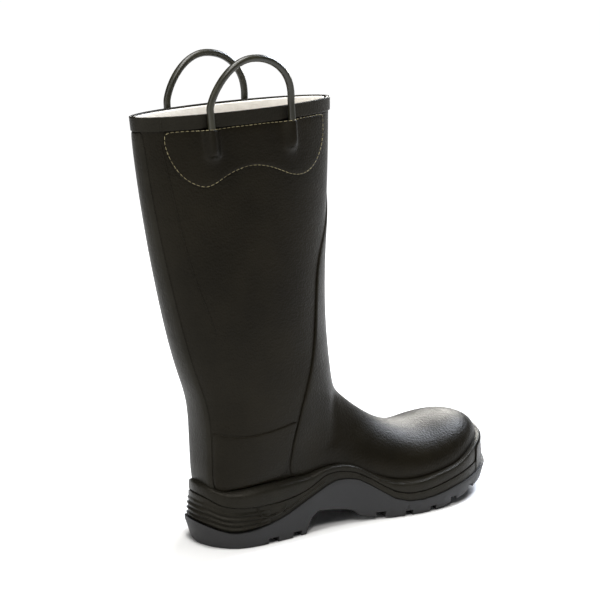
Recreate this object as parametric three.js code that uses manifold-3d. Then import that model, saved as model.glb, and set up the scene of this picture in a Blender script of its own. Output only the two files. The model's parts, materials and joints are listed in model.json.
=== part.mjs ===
// A pull-on rubber fire boot for the right foot. X runs from the heel to the toe, -Y is the outer side
// of the foot and +Z is up. Everything is in millimetres.
//
// The upper is one smooth skin around the leg and foot. A point on it is named by its run, the distance
// down from the rim, and its turn, the angle around the section, 0 at the front and 180 degrees at the
// back or under the foot. Every sheet of the upper is that skin moved in or out along its normal.
// The sole unit is a stack of plates and bands that share one outline and a few wavy lines.
import * as THREE from "three";
import { LoftGeometry } from "three/addons/geometries/LoftGeometry.js";
import { mergeVertices } from "three/addons/utils/BufferGeometryUtils.js";
import Module from "manifold-3d";

const wasm = await Module();
wasm.setup();

// ---------- Overall sizes ----------
const LENGTH = 316; // heel on the ground to the tip of the outsole
const HEIGHT = 371.5; // ground to the middle of the rim
const BALL_WIDTH = 110.3; // outsole across the ball of the foot
const LEG_WIDTH = 86; // the leg from side to side above the ankle

// ---------- Sheets of the upper, counted from the skin ----------
const CLEARANCE = 0.3; // between pieces that touch on the real boot
const RUBBER = 2.6; // shell of the leg and foot, inwards from the skin
const LINING = 2.3; // felt and cotton lining
const LINING_GAP = 0.5; // from the shell to the lining
const OVERLAY_GAP = 0.5; // from the shell to the guard and the heel covers
const CAP_STEEL = 2.0;
const CAP_REAR = 246; // where the toe cap starts
const STIFFENER = 1.2; // board around the heel, inside the shell
const GUARD = 1.4; // rubber over the shin, instep and toes
const BACKSTAY = 1.4;
const COVER = 1.0; // rubber around the heel
const BAND = 1.2; // binding outside the rim
const BAND_HEIGHT = 11;
const PATCH = 1.1; // rubber that holds the loop ends

// ---------- Pull loops ----------
const CORD = 6.0; // diameter of a loop
const LOOP_TURNS = [69.3, 116.3]; // where its legs stand, degrees around the rim
const LOOP_RISE = 37; // half-height of the arch above its straight part
const LOOP_STRAIGHT = 4; // from the rim up to the hinge line
const LOOP_LEAN = 4; // outwards, degrees
const LEG_DEPTH = 31; // how far a leg reaches below the rim

// ---------- Sole unit, inset from the outsole's outline ----------
const UPPER_INSET = { side: 6.4, heel: 9.1, toe: 9.5 };
const FOXING_INNER = { side: 4.2, heel: 6.9, toe: 6.9 };
const FOXING_OUTER = { side: 1.5, heel: 5.2, toe: 5.2 };
const SOLE_GAP = 0.5; // between the outsole and the midsole
const BUMPER_OUTER = { side: 1.1, heel: 2.4, toe: 2.6 };
const MIDSOLE_EDGE = 1.2;
const HEEL_SEAT = { side: 4.0, heel: 5.4, toe: 4.0 }; // what the heel bumper is bedded on
const OUTSOLE_LIP = { side: 0, heel: 1.4, toe: 0 };
const UNDERCUT = { side: 1.0, heel: 6.4, toe: 3.0 }; // of the tread from the outsole's top edge
const STEEL_PLATE = 1.0;
const INSOLE_BOARD = 2.0;
const FOOTBED = 5.0;
const SHANK = { width: 18, thick: 1.6, from: 60, to: 150, rungs: 6 };
const FILLER = { from: 14, to: 68, half: 20, floor: 2.2, top: 2.5 }; // block in the heel
const BUMPER_RIB = 1.8;
const BUMPER_ROUND = 3.6; // how far a bumper's face leans in at its top
const DISH = 11; // hollow in the outsole's top under the arch
const TREAD_DEPTH = 5;

// ---------- Fitting the outlines below to the overall sizes ----------
// The outlines are drawn on a boot of these sizes. The heel and toe keep their own size, and what lies
// between them stretches with the length. The leg stretches above the ankle.
const DRAWN = { length: 316, height: 371.5, width: 110.3, leg: 86, heelEnd: 20, toeStart: 240, ankle: 150 };

function along(x) {
  if (x <= DRAWN.heelEnd) return x;
  if (x >= DRAWN.toeStart) return LENGTH - (DRAWN.length - x);
  const middle = DRAWN.toeStart - DRAWN.heelEnd;
  const stretched = middle + LENGTH - DRAWN.length;
  return DRAWN.heelEnd + ((x - DRAWN.heelEnd) * stretched) / middle;
}

function up(z) {
  if (z <= DRAWN.ankle) return z;
  return DRAWN.ankle + ((z - DRAWN.ankle) * (HEIGHT - DRAWN.ankle)) / (DRAWN.height - DRAWN.ankle);
}

const acrossSole = (y) => (y * BALL_WIDTH) / DRAWN.width;
const acrossLeg = (y) => (y * LEG_WIDTH) / DRAWN.leg;
const radians = THREE.MathUtils.degToRad;
const mix = THREE.MathUtils.lerp;
const ease = THREE.MathUtils.smoothstep;

// A smooth function through rows of [place, value, value...]. It keeps between its points, so that a
// flat stretch stays flat, and it is level beyond its ends.
function through(rows) {
  const last = rows.length - 1;
  const columns = rows[0].length - 1;
  const slope = (i, k) => (rows[i + 1][k] - rows[i][k]) / (rows[i + 1][0] - rows[i][0]);
  const tangent = (i, k) => {
    if (i === 0) return slope(0, k);
    if (i === last) return slope(last - 1, k);
    const [before, after] = [slope(i - 1, k), slope(i, k)];
    return before * after <= 0 ? 0 : (2 * before * after) / (before + after);
  };
  return (place) => {
    const x = THREE.MathUtils.clamp(place, rows[0][0], rows[last][0]);
    const i = Math.max(0, Math.min(last - 1, rows.findIndex((row) => row[0] > x) - 1));
    const from = rows[last][0] <= x ? last - 1 : i;
    const gap = rows[from + 1][0] - rows[from][0];
    const t = (x - rows[from][0]) / gap;
    return Array.from({ length: columns }, (_, column) => {
      const k = column + 1;
      const start = (1 + 2 * t) * (1 - t) ** 2 * rows[from][k];
      const end = t * t * (3 - 2 * t) * rows[from + 1][k];
      const turnOut = t * (1 - t) ** 2 * gap * tangent(from, k);
      const turnIn = t * t * (t - 1) * gap * tangent(from + 1, k);
      return start + end + turnOut + turnIn;
    });
  };
}

const line = (rows) => {
  const at = through(rows.map(([x, z]) => [along(x), z]));
  return (x) => at(x)[0];
};

// ---------- Outline of the sole ----------
// Half-widths from the centre line. Their squares are smooth where the outline turns around an end.
function halfWidth(rows) {
  const at = through(rows.map(([x, y]) => [along(x), acrossSole(y) ** 2]));
  return (x) => Math.sqrt(Math.max(0, at(x)[0]));
}

const outerHalf = halfWidth([
  [-6.5, 0], [0, 21.5], [10, 31], [20, 36.5], [40, 41], [60, 41.5], [90, 40.5], [120, 40], [150, 44.5],
  [180, 52.5], [205, 57.3], [230, 58.3], [255, 55.5], [280, 45.5], [300, 32], [310, 18], [316, 0],
]);
const innerHalf = halfWidth([
  [-6.5, 0], [0, 21.5], [10, 30.5], [20, 35.5], [40, 39.5], [60, 39.5], [90, 37.5], [120, 36], [150, 37.5],
  [180, 44], [205, 50.5], [235, 52], [258, 48.5], [280, 40], [300, 26], [310, 14.5], [316, 0],
]);
const centreLine = line([[-6.5, 0], [190, 0], [240, 1], [280, 2.6], [300, 4], [316, 5]]);
const sideHalf = (side, x) => (side < 0 ? outerHalf(x) : innerHalf(x));

// Heights along the sole, the same on both sides.
const foxingTop = line([
  [-6.5, 55], [0, 54.5], [5, 51], [10, 48.5], [18, 47.2], [30, 47.8], [60, 49.2], [92, 50.2], [107, 54.4],
  [120, 56], [131, 55], [142, 51.3], [154, 43.3], [167, 35.2], [180, 30.4], [192, 29.6], [205, 30],
  [218, 31.8], [233, 34.6], [247, 37], [260, 41.2], [272, 46], [286, 50], [300, 52], [316, 53],
]);
const foxingBase = line([
  [-6.5, 45.5], [0, 44.5], [5, 40.5], [10, 38], [20, 36.3], [30, 35.6], [58, 35.4], [80, 37.8], [96, 43],
  [112, 50.3], [120, 50.6], [131, 49.4], [142, 45.8], [157, 37.3], [171, 27.6], [182, 22.4], [195, 20.4],
  [211, 21.2], [228, 24], [247, 27.4], [265, 30.5], [285, 33], [316, 36],
]);
const outsoleTop = line([
  [-6.5, 22.5], [0, 19.5], [5, 17.4], [11, 14.8], [19, 13.6], [30, 14.2], [42, 16], [54, 18.6], [69, 23.2],
  [83, 29], [97, 34.8], [112, 40.6], [122, 42.9], [130, 42.6], [141, 40.2], [154, 33], [167, 24.2],
  [178, 17.2], [190, 13.6], [205, 12.9], [222, 14.6], [240, 17.6], [260, 20.4], [280, 22.6], [316, 25],
]);
const treadHeight = line([
  [-6.5, 0], [88, 0], [91, 8], [95, 14.5], [101, 18.4], [108, 18], [116, 16.6], [128, 14.3], [138, 12.2],
  [141.5, 9.6], [144, 6.2], [151, 4.8], [160, 3], [169, 1], [178, 0], [212, 0], [223, 1.1], [236, 3.1],
  [250, 5.7], [264, 8.4], [280, 10.6], [299, 13.6], [316, 17],
]);

// An inset that has one value along the sides and others around the heel and the toe.
function insetAt(inset, x) {
  if (typeof inset === "number") return inset;
  if (typeof inset === "function") return inset(x);
  const heel = 1 - ease(x, -6.5, along(26));
  const toe = ease(x, LENGTH - 40, LENGTH - 4);
  return inset.side + (inset.heel - inset.side) * heel + (inset.toe - inset.side) * toe;
}

// Where the outline and the plates have their points.
const STATIONS = [
  -6.5, -6, -4, 0, 6, 13, 21, 30, 40, 50, 60, 71, 81, 88, 91, 95, 101, 110, 120, 130, 138, 141.5, 144, 154,
  165, 177, 190, 203, 216, 229, 242, 254, 266, 277, 286, 294, 301, 307, 311.3, 314.2, 315.6, 316,
].map(along);

// One point of the outline at x on a side, moved inwards.
function outlinePoint(x, side, inset) {
  const step = 0.01;
  const a = Math.max(x - step, STATIONS[0]);
  const b = Math.min(x + step, LENGTH);
  const dy = side * (sideHalf(side, b) - sideHalf(side, a)) + centreLine(b) - centreLine(a);
  const atEnd = x === STATIONS[0] || x === LENGTH;
  const normal = atEnd
    ? new THREE.Vector2(Math.sign(x - LENGTH / 2), 0)
    : new THREE.Vector2(dy, a - b).multiplyScalar(-side).normalize();
  const y = centreLine(x) + side * sideHalf(side, x);
  const distance = insetAt(inset, x);
  return new THREE.Vector2(x - normal.x * distance, y - normal.y * distance);
}

// A closed ring of points around the outline at a height given by a function of x.
function ring(inset, height) {
  const outer = STATIONS.map((x) => [x, -1]);
  const inner = STATIONS.slice(1, -1).reverse().map((x) => [x, 1]);
  return [...outer, ...inner].map(([x, side]) => {
    const p = outlinePoint(x, side, inset);
    return new THREE.Vector3(p.x, p.y, height(p.x));
  });
}

// The same points drawn in to the centre line, so that a plate closes along it.
function spine(margin, height) {
  return [...STATIONS, ...STATIONS.slice(1, -1).reverse()].map((x) => {
    const place = THREE.MathUtils.clamp(x, STATIONS[0] + margin, LENGTH - margin);
    return new THREE.Vector3(place, centreLine(place), height(place));
  });
}

// Half-width of the outline after an inset, as a function of x.
function insetHalf(side, inset) {
  const rows = [];
  for (const x of STATIONS) {
    const p = outlinePoint(x, side, inset);
    const half = Math.max(0, side * (p.y - centreLine(p.x)));
    if (rows.length === 0 || p.x > rows[rows.length - 1][0] + 0.05) rows.push([p.x, half * half]);
  }
  rows[0][1] = 0;
  rows[rows.length - 1][1] = 0;
  const at = through(rows);
  return (x) => Math.sqrt(Math.max(0, at(x)[0]));
}

// ---------- Skin of the upper ----------
const AROUND = 24; // points around a section, closer together at its front and back
const CROWDING = 0.2; // how much closer

function turnAt(step) {
  const even = (2 * Math.PI * step) / AROUND;
  return THREE.MathUtils.radToDeg(even - CROWDING * Math.sin(2 * even));
}
const TURNS = Array.from({ length: AROUND }, (_, step) => turnAt(step));
const GUARD_STEPS = 8; // how many of those points the guard covers on each side of the foot
const FULL = turnAt(GUARD_STEPS);
const upperOuter = insetHalf(-1, UPPER_INSET);
const upperInner = insetHalf(1, UPPER_INSET);

// Stations down the leg and along the foot: the front or top point, the back or under point, the
// half-widths on the outer and inner side (none where the sole's outline sets them), how far from the
// back the widest place lies, the fullness towards the front and the back, and the edge of the guard.
const SECTIONS = [
  [135.3, 375, -52.9, 367.9, 32.3, 32.3, 0.5, 2, 2, 0],
  [134.7, 333.3, -48.1, 326.6, 35, 35, 0.5, 2, 2, 0],
  [133.4, 302.8, -43.8, 297.2, 37, 37, 0.5, 2, 2, 5],
  [131.4, 266, -37.7, 262, 39.4, 39.4, 0.5, 2, 2, 27],
  [129.7, 243, -33.3, 240, 41, 41, 0.5, 2, 2, 43],
  [128.4, 213, -26.9, 210, 42.5, 42.5, 0.5, 2, 2, 47],
  [128.7, 183, -19.6, 180, 43, 43, 0.5, 2.03, 2.05, 51.5],
  [130.9, 158, -11.6, 153, 43, 43, 0.5, 2.05, 2.1, 59.5],
  [132.8, 141, -3.6, 133, 42.6, 42.6, 0.5, 2.1, 2.2, 69],
  [134.3, 132, 0.4, 116, 41.6, 41.6, 0.5, 2.1, 2.4, 74.5],
  [136, 126, 1.9, 100, 40.5, 40.5, 0.5, 2.1, 2.6, 78.5],
  [137.8, 121.5, 2.6, 82, 39.2, 39, 0.49, 2.1, 2.7, 80.5],
  [140.2, 117.3, 2.8, 64, 38, 37.5, 0.48, 2.1, 2.7, 83],
  [143.2, 113.6, 4.2, 50.5, 37, 36.3, 0.47, 2.1, 2.8, 85.5],
  [147, 109.8, 11, 43.6, 36.2, 35.3, 0.45, 2.1, 3, 88],
  [152.6, 104.8, 28, 41.6, 34.8, 33.4, 0.43, 2.1, 3.2, 93],
  [160, 98.8, 55, 41.8, 33.8, 32, 0.4, 2.1, 3.3, 110],
  [168.5, 92.3, 85, 44.4, 33.4, 30.8, 0.38, 2.05, 3.3, FULL],
  [178.5, 85.6, 113, 46.2, 33.8, 30, 0.37, 2, 3.3, FULL],
  [190.5, 78.6, 141, 40.2, null, null, 0.36, 2, 3.4, FULL],
  [204, 73.8, 168, 28.6, null, null, 0.36, 2, 3.5, FULL],
  [219, 70.4, 194, 22.9, null, null, 0.36, 2, 3.5, FULL],
  [234, 70.1, 218, 22, null, null, 0.36, 2.05, 3.5, FULL],
  [248, 71.3, 239, 22.8, null, null, 0.37, 2.15, 3.5, FULL],
  [262, 71.8, 258, 24.6, null, null, 0.38, 2.25, 3.4, FULL],
  [275, 71.4, 274, 27.2, null, null, 0.4, 2.3, 3.2, FULL],
  [287, 68.6, 287, 30.2, null, null, 0.42, 2.3, 3, FULL],
  [296, 64, 296, 33, null, null, 0.44, 2.3, 2.6, FULL],
  [302, 58, 302, 36.6, null, null, 0.46, 2.2, 2.3, FULL],
  [305.3, 52, 305.3, 40.6, null, null, 0.48, 2, 2, FULL],
  [306.5, 46, 306.5, 46, 0, 0, 0.5, 2, 2, FULL],
];
// Rows of that list where a piece of the upper starts or ends.
const SECTION = { guardTop: 2, legEnd: 10, counter: 11, coverEnd: 14, vamp: 21 };

function stretched(row) {
  const [frontX, frontZ, backX, backZ, outer, inner, widest, ...rest] = row;
  const seatX = mix(along(backX), along(frontX), widest / 2); // level with the top of the foxing
  const onSole = 1 - ease(backZ, 45, 110);
  const inSole = (y) => acrossSole(y + UPPER_INSET.side) - UPPER_INSET.side;
  const across = (y) => mix(acrossLeg(y), inSole(y), onSole);
  return [
    along(frontX), up(frontZ), along(backX), up(backZ),
    outer === null ? upperOuter(seatX) : across(outer),
    inner === null ? upperInner(seatX) : across(inner),
    widest, ...rest,
  ];
}

const sectionRows = [];
for (const row of SECTIONS.map(stretched)) {
  const before = sectionRows[sectionRows.length - 1];
  let run = 0;
  if (before) {
    const front = Math.hypot(row[0] - before[1], row[1] - before[2]);
    const back = Math.hypot(row[2] - before[3], row[3] - before[4]);
    run = before[0] + (front + back) / 2;
  }
  sectionRows.push([run, ...row]);
}
const sectionAt = through(sectionRows);
const TIP = sectionRows[sectionRows.length - 1][0];

// Underside of the foot, where the upper stands on the sole.
const footUnderside = (() => {
  const under = sectionRows.slice(SECTION.coverEnd).map((row) => [row[3], row[4]]);
  const level = under[under.length - 3][1];
  const rows = [[STATIONS[0], under[0][1]], ...under.slice(0, -2), [LENGTH, level]];
  return (x) => {
    const next = Math.max(1, rows.findIndex((row) => row[0] >= x));
    const [from, to] = [rows[next - 1], rows[next]];
    return mix(from[1], to[1], (x - from[0]) / (to[0] - from[0]));
  };
})();

// The run at a section counted with fractions, such as 11.5.
function runAt(index) {
  const whole = Math.min(Math.floor(index), sectionRows.length - 2);
  return mix(sectionRows[whole][0], sectionRows[whole + 1][0], index - whole);
}

const guardEdge = (run) => sectionAt(run)[9];

function skinPoint(run, turn) {
  const [frontX, frontZ, backX, backZ, outer, inner, widest, frontFull, backFull] = sectionAt(run);
  const c = Math.cos(turn);
  const s = Math.sin(turn);
  const full = 2 / (c > 0 ? frontFull : backFull);
  const reach = Math.sign(c) * Math.abs(c) ** full;
  const share = widest + reach * (c > 0 ? 1 - widest : widest);
  const x = mix(backX, frontX, share);
  const half = s > 0 ? inner : outer;
  const y = centreLine(x) + Math.sign(s) * half * Math.abs(s) ** full;
  return new THREE.Vector3(x, y, mix(backZ, frontZ, share));
}

// A point on the skin, moved out along its normal. Turn is in degrees, positive on the inner side.
function skin(run, turnDegrees, offset) {
  const turn = radians(turnDegrees);
  if (run > TIP - 0.01) return skinPoint(TIP, 0).add(new THREE.Vector3(offset, 0, 0));
  const step = 0.004;
  const low = Math.max(0, run - 0.4);
  const high = Math.min(TIP - 0.02, run + 0.4);
  const down = skinPoint(high, turn).sub(skinPoint(low, turn));
  const round = skinPoint(run, turn + step).sub(skinPoint(run, turn - step));
  const normal = down.cross(round).normalize();
  return skinPoint(run, turn).addScaledVector(normal, offset);
}

// ---------- Solids ----------
// Joins the surface's points, drops its flat triangles and turns it the right way out.
function closed(geometry) {
  geometry.deleteAttribute("normal");
  geometry.deleteAttribute("uv");
  const merged = mergeVertices(geometry, 1e-3);
  const index = merged.index.array;
  const kept = [];
  let volume = 0;
  const [a, b, c] = [new THREE.Vector3(), new THREE.Vector3(), new THREE.Vector3()];
  for (let i = 0; i < index.length; i += 3) {
    const [p, q, r] = [index[i], index[i + 1], index[i + 2]];
    if (p === q || q === r || r === p) continue;
    kept.push(p, q, r);
    a.fromBufferAttribute(merged.attributes.position, p);
    b.fromBufferAttribute(merged.attributes.position, q);
    c.fromBufferAttribute(merged.attributes.position, r);
    volume += a.dot(b.cross(c));
  }
  if (volume < 0) kept.reverse();
  merged.setIndex(kept);
  return merged;
}

const loft = (sections) => closed(new LoftGeometry(sections));

function solidOf(geometry) {
  const vertProperties = new Float32Array(geometry.attributes.position.array);
  const triVerts = new Uint32Array(geometry.index.array);
  return new wasm.Manifold(new wasm.Mesh({ numProp: 3, vertProperties, triVerts }));
}

function geometryOf(solid) {
  const made = solid.getMesh();
  const geometry = new THREE.BufferGeometry();
  geometry.setAttribute("position", new THREE.BufferAttribute(new Float32Array(made.vertProperties), 3));
  geometry.setIndex(new THREE.BufferAttribute(new Uint32Array(made.triVerts), 1));
  return geometry;
}

function cut(geometry, ...tools) {
  return geometryOf(tools.reduce((solid, tool) => solid.subtract(solidOf(tool)), solidOf(geometry)));
}

const join = (first, ...others) =>
  geometryOf(others.reduce((solid, other) => solid.add(solidOf(other)), solidOf(first)));

// What two solids share, in one body.
function common(first, second) {
  const bodies = solidOf(first).intersect(solidOf(second)).decompose();
  return geometryOf(bodies.reduce((most, body) => (body.volume() > most.volume() ? body : most)));
}

function box(low, high) {
  const [a, b] = [new THREE.Vector3(...low), new THREE.Vector3(...high)];
  const size = b.clone().sub(a);
  const middle = a.add(b).multiplyScalar(0.5);
  return closed(new THREE.BoxGeometry(size.x, size.y, size.z).translate(middle.x, middle.y, middle.z));
}

const steps = (from, to, count) => Array.from({ length: count + 1 }, (_, i) => mix(from, to, i / count));

// A sheet all the way round the boot between two runs, open at both ends unless it reaches the tip.
function sleeve(runs, inner, outer) {
  const level = (run, offset) => TURNS.map((turn) => skin(run, turn, offset(run)));
  const outside = runs.map((run) => level(run, outer));
  const inside = runs.map((run) => level(run, inner)).reverse();
  const first = [...inside, ...outside];
  return loft(runs[runs.length - 1] >= TIP - 0.01 ? first : [...first, inside[0]]);
}

// A sheet on part of the skin. place gives [run, turn] for each column and row, and inner and outer give
// the offsets there.
function sheet(columns, rows, place, inner, outer) {
  const surface = (offset, column, row) => {
    const [run, turn] = place(column, row);
    return skin(run, turn, offset(run, turn));
  };
  const strip = (column, near, far) => [
    ...rows.map((row) => surface(near, column, row)),
    ...[...rows].reverse().map((row) => surface(far, column, row)),
  ];
  const first = columns[0];
  const last = columns[columns.length - 1];
  return loft([
    strip(first, inner, inner),
    ...columns.map((column) => strip(column, inner, outer)),
    strip(last, inner, inner),
  ]);
}

// ---------- Materials ----------
const material = (color, roughness, metalness = 0) =>
  new THREE.MeshStandardMaterial({ color, roughness, metalness });
const LEG_RUBBER = material(0x1a1916, 0.5);
const TRIM_RUBBER = material(0x1c1b19, 0.55);
const SOLE_RUBBER = material(0x232427, 0.7);
const LOOP_RUBBER = material(0x20211b, 0.45);
const FELT = material(0xe1ded9, 0.95);
const STEEL = material(0x8f9296, 0.35, 1);
const BOARD = material(0x8a6b45, 0.85);
const FOAM = material(0x3c3c3e, 0.9);

const boot = new THREE.Group();

function add(name, geometry, finish, parent = boot) {
  const mesh = new THREE.Mesh(geometry, finish);
  mesh.name = name;
  parent.add(mesh);
  return mesh;
}

// ---------- Leg and foot ----------
const sectionRuns = (from, to) => sectionRows.slice(from, to + 1).map((row) => row[0]);
const LAST = SECTIONS.length - 1;
const legRuns = sectionRuns(0, SECTION.legEnd);
const footRuns = [runAt(SECTION.legEnd) + CLEARANCE, ...sectionRuns(SECTION.legEnd + 1, LAST)];
const rubberInside = () => -RUBBER;
const skinItself = () => 0;

function makeLeg() {
  add("leg_shell", sleeve(legRuns, rubberInside, skinItself), LEG_RUBBER);
  add("foot_shell", sleeve(footRuns, rubberInside, skinItself), LEG_RUBBER);
}

// The lining steps in around the heel, behind its stiffener, and at the toes, inside the steel cap.
const capRun = (() => {
  const rows = sectionRows.slice(SECTION.vamp).map((row) => [row[1], row[0]]);
  return through(rows)(along(CAP_REAR))[0];
})();
const counterRuns = sectionRuns(SECTION.counter, SECTION.coverEnd);
const heelStep = (run) => {
  const above = ease(run, runAt(SECTION.counter - 1), runAt(SECTION.counter));
  const below = ease(run, runAt(SECTION.coverEnd), runAt(SECTION.coverEnd + 1));
  return (STIFFENER + CLEARANCE) * above * (1 - below);
};
const toeStep = (run) => (CAP_STEEL + CLEARANCE) * ease(run, capRun - 26, capRun - 8);
const liningOuter = (run) => -(RUBBER + LINING_GAP + heelStep(run) + toeStep(run));
const liningInner = (run) => liningOuter(run) - LINING;
const RIM_STEP = 0.8; // the lining ends just below the rubber's edge

function makeLining() {
  const runs = [RIM_STEP, ...legRuns.slice(1), ...footRuns.slice(1)];
  add("lining", sleeve(runs, liningOuter, liningInner), FELT);
  const backTurns = TURNS.filter((turn) => Math.abs(turn - 180) < 70);
  add(
    "heel_stiffener",
    sheet(
      backTurns, counterRuns,
      (turn, run) => [run, turn],
      () => -(RUBBER + CLEARANCE + STIFFENER),
      () => -(RUBBER + CLEARANCE),
    ),
    BOARD,
  );
}

const skinOffset = (base, thickness) => [() => base, () => base + thickness];
const GUARD_TIP = 4; // half its width at its top, degrees

function makeGuard() {
  const top = runAt(SECTION.guardTop);
  const next = runAt(SECTION.guardTop + 1);
  const tip = [top, mix(top, next, 0.25), mix(top, next, 0.6)];
  const runs = [...tip, ...sectionRuns(SECTION.guardTop + 1, LAST)];
  const columns = steps(-GUARD_STEPS, GUARD_STEPS, 2 * GUARD_STEPS).map(turnAt);
  const place = (run, turn) => {
    const edge = Math.max(guardEdge(run), GUARD_TIP);
    return [run, THREE.MathUtils.clamp(turn, -edge, edge)];
  };
  add("front_guard", sheet(runs, columns, place, ...skinOffset(OVERLAY_GAP, GUARD)), LEG_RUBBER);
}

const stayHalf = (run) => mix(15, 21, ease(run, 0, runAt(SECTION.legEnd)));

function makeHeelTrim() {
  const heelRun = runAt(SECTION.coverEnd - 0.4);
  const below = sectionRuns(SECTION.legEnd + 1, SECTION.coverEnd - 1);
  const stayRuns = [BAND_HEIGHT + CLEARANCE, ...legRuns.slice(1), ...below, heelRun];
  add(
    "backstay",
    sheet(
      stayRuns, steps(-1, 1, 6),
      (run, share) => [run, 180 + share * stayHalf(run)],
      ...skinOffset(CLEARANCE, BACKSTAY),
    ),
    TRIM_RUBBER,
  );
  const gap = 1.2; // degrees to the guard and to the backstay
  for (const [name, side] of [["outer", -1], ["inner", 1]]) {
    const top = (share) => runAt(mix(SECTION.legEnd + 1, SECTION.legEnd - 0.1, share)); // level
    const place = (share, drop) => {
      const low = mix(runAt(SECTION.coverEnd + 1.5), heelRun, ease(share, 0, 0.75));
      const run = mix(top(share), low, drop);
      return [run, side * mix(guardEdge(run) + gap, 180 - stayHalf(run) - gap, share)];
    };
    add(
      `heel_cover_${name}`,
      sheet(steps(0, 1, 12), steps(0, 1, 9), place, ...skinOffset(OVERLAY_GAP, COVER)),
      LEG_RUBBER,
    );
  }
}

// ---------- Rim, patches and pull loops ----------
const bandOuter = CLEARANCE + BAND;
const legAxis = bandOuter + 2 * CLEARANCE + CORD / 2; // from the skin to a loop's leg

// Lower edge of a patch: how deep it reaches, by the angle around the leg.
const patchDepth = (() => {
  const at = through([
    [36, 24], [37.5, 35], [40, 43], [46, 51.5], [52, 57], [58, 59], [64, 58.5], [71, 56], [78, 51],
    [86, 46.5], [94, 44.5], [102, 46.5], [110, 51.5], [117, 57], [123, 59], [130, 56], [136, 51], [141, 44],
    [144.5, 34], [146, 24],
  ]);
  return (turn) => at(turn)[0];
})();
const PATCH_TOP = 11.8;
const COVERED = 2; // how far a leg's hump runs past the leg's end
const HUMP = { half: 8, rise: legAxis + CORD / 2 + CLEARANCE + 0.6 };

// How far the patch stands off the skin where it passes over the legs.
function patchInner(run, turn) {
  const here = skinPoint(run, radians(turn));
  let lift = 0;
  for (const legTurn of LOOP_TURNS) {
    const leg = skinPoint(run, radians(Math.sign(turn) * legTurn));
    const away = Math.min(1, here.distanceTo(leg) / HUMP.half);
    lift = Math.max(lift, Math.cos((away * Math.PI) / 2) ** 1.2);
  }
  const fade = 1 - ease(run, LEG_DEPTH + 1.5, LEG_DEPTH + 1.5 + 2 * COVERED);
  return CLEARANCE + (HUMP.rise - CLEARANCE) * lift * fade;
}

// The binding around the rim, and a patch on each side. A patch's rows follow the legs' ends where it is
// deep enough, and share its depth where it isn't.
function makeRim() {
  add("rim_band", sleeve([0, BAND_HEIGHT / 2, BAND_HEIGHT], () => CLEARANCE, () => bandOuter), TRIM_RUBBER);
  const besideLegs = [-6.5, -5, -3.2, -1.6, 0, 1.6, 3.2, 5, 6.5];
  const turns = [
    36, 37.5, 41, 46, 52, 58, ...besideLegs.map((d) => LOOP_TURNS[0] + d), 82, 88, 94, 100, 105,
    ...besideLegs.map((d) => LOOP_TURNS[1] + d), 128, 134, 139, 143, 146,
  ];
  const rows = [PATCH_TOP, 24, LEG_DEPTH + 1.5, LEG_DEPTH + 1.5 + COVERED, LEG_DEPTH + 1.5 + 2 * COVERED];
  for (const [name, side] of [["outer", -1], ["inner", 1]]) {
    const place = (turn, row) => {
      const low = patchDepth(turn);
      const last = rows[rows.length - 1];
      const share = Math.min(1, (low - PATCH_TOP - 2) / (last - PATCH_TOP));
      if (row <= rows.length - 1) return [PATCH_TOP + (rows[row] - PATCH_TOP) * share, side * turn];
      return [mix(PATCH_TOP + (last - PATCH_TOP) * share, low, row - rows.length + 1), side * turn];
    };
    const patchOuter = (run, turn) => patchInner(run, turn) + PATCH;
    add(
      `loop_patch_${name}`,
      sheet(turns, [0, 1, 2, 3, 4, 4.5, 5], place, patchInner, patchOuter),
      LEG_RUBBER,
    );
  }
}

// A round bar between two points.
function bar(from, to, radius, sides) {
  const path = new THREE.LineCurve3(from, to);
  const circle = new THREE.Shape().absarc(0, 0, radius, 0, 2 * Math.PI);
  return closed(
    new THREE.ExtrudeGeometry(circle, { steps: 1, curveSegments: sides / 2, extrudePath: path }),
  );
}

// The centre of a loop's ball end, on its hinge line just above the rim.
function loopFoot(side, legTurn) {
  const top = skin(0, side * legTurn, legAxis);
  return top.add(new THREE.Vector3(0, 0, LOOP_STRAIGHT));
}

function makeLoops() {
  for (const [name, side] of [["outer", -1], ["inner", 1]]) {
    const [front, rear] = LOOP_TURNS.map((turn) => loopFoot(side, turn));
    ["front", "rear"].forEach((place, i) => {
      const low = skin(LEG_DEPTH, side * LOOP_TURNS[i], legAxis);
      const foot = [front, rear][i];
      const upward = foot.clone().sub(low).normalize();
      const high = foot.clone().addScaledVector(upward, -(CORD / 2 + CLEARANCE));
      add(`loop_leg_${name}_${place}`, bar(low, high, CORD / 2, 10), LOOP_RUBBER);
    });
    const chord = front.clone().sub(rear);
    const middle = front.clone().add(rear).multiplyScalar(0.5);
    const outward = new THREE.Vector3(0, side, 0);
    const rise = new THREE.Vector3(0, 0, 1).addScaledVector(outward, Math.tan(radians(LOOP_LEAN)));
    const arch = steps(0, 180, 18).map((angle) =>
      middle
        .clone()
        .addScaledVector(chord, 0.5 * Math.cos(radians(angle)))
        .addScaledVector(rise, LOOP_RISE * Math.sin(radians(angle)) ** (angle < 90 ? 0.9 : 1.4)),
    );
    const path = new THREE.CatmullRomCurve3(arch);
    const circle = new THREE.Shape().absarc(0, 0, CORD / 2, 0, 2 * Math.PI);
    const tube = closed(
      new THREE.ExtrudeGeometry(circle, { steps: 18, curveSegments: 4, extrudePath: path }),
    );
    const ball = (at) => closed(new THREE.SphereGeometry(CORD / 2, 8, 6).translate(at.x, at.y, at.z));
    add(`pull_loop_${name}`, join(tube, ball(front), ball(rear)), LOOP_RUBBER);
  }
}

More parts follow.
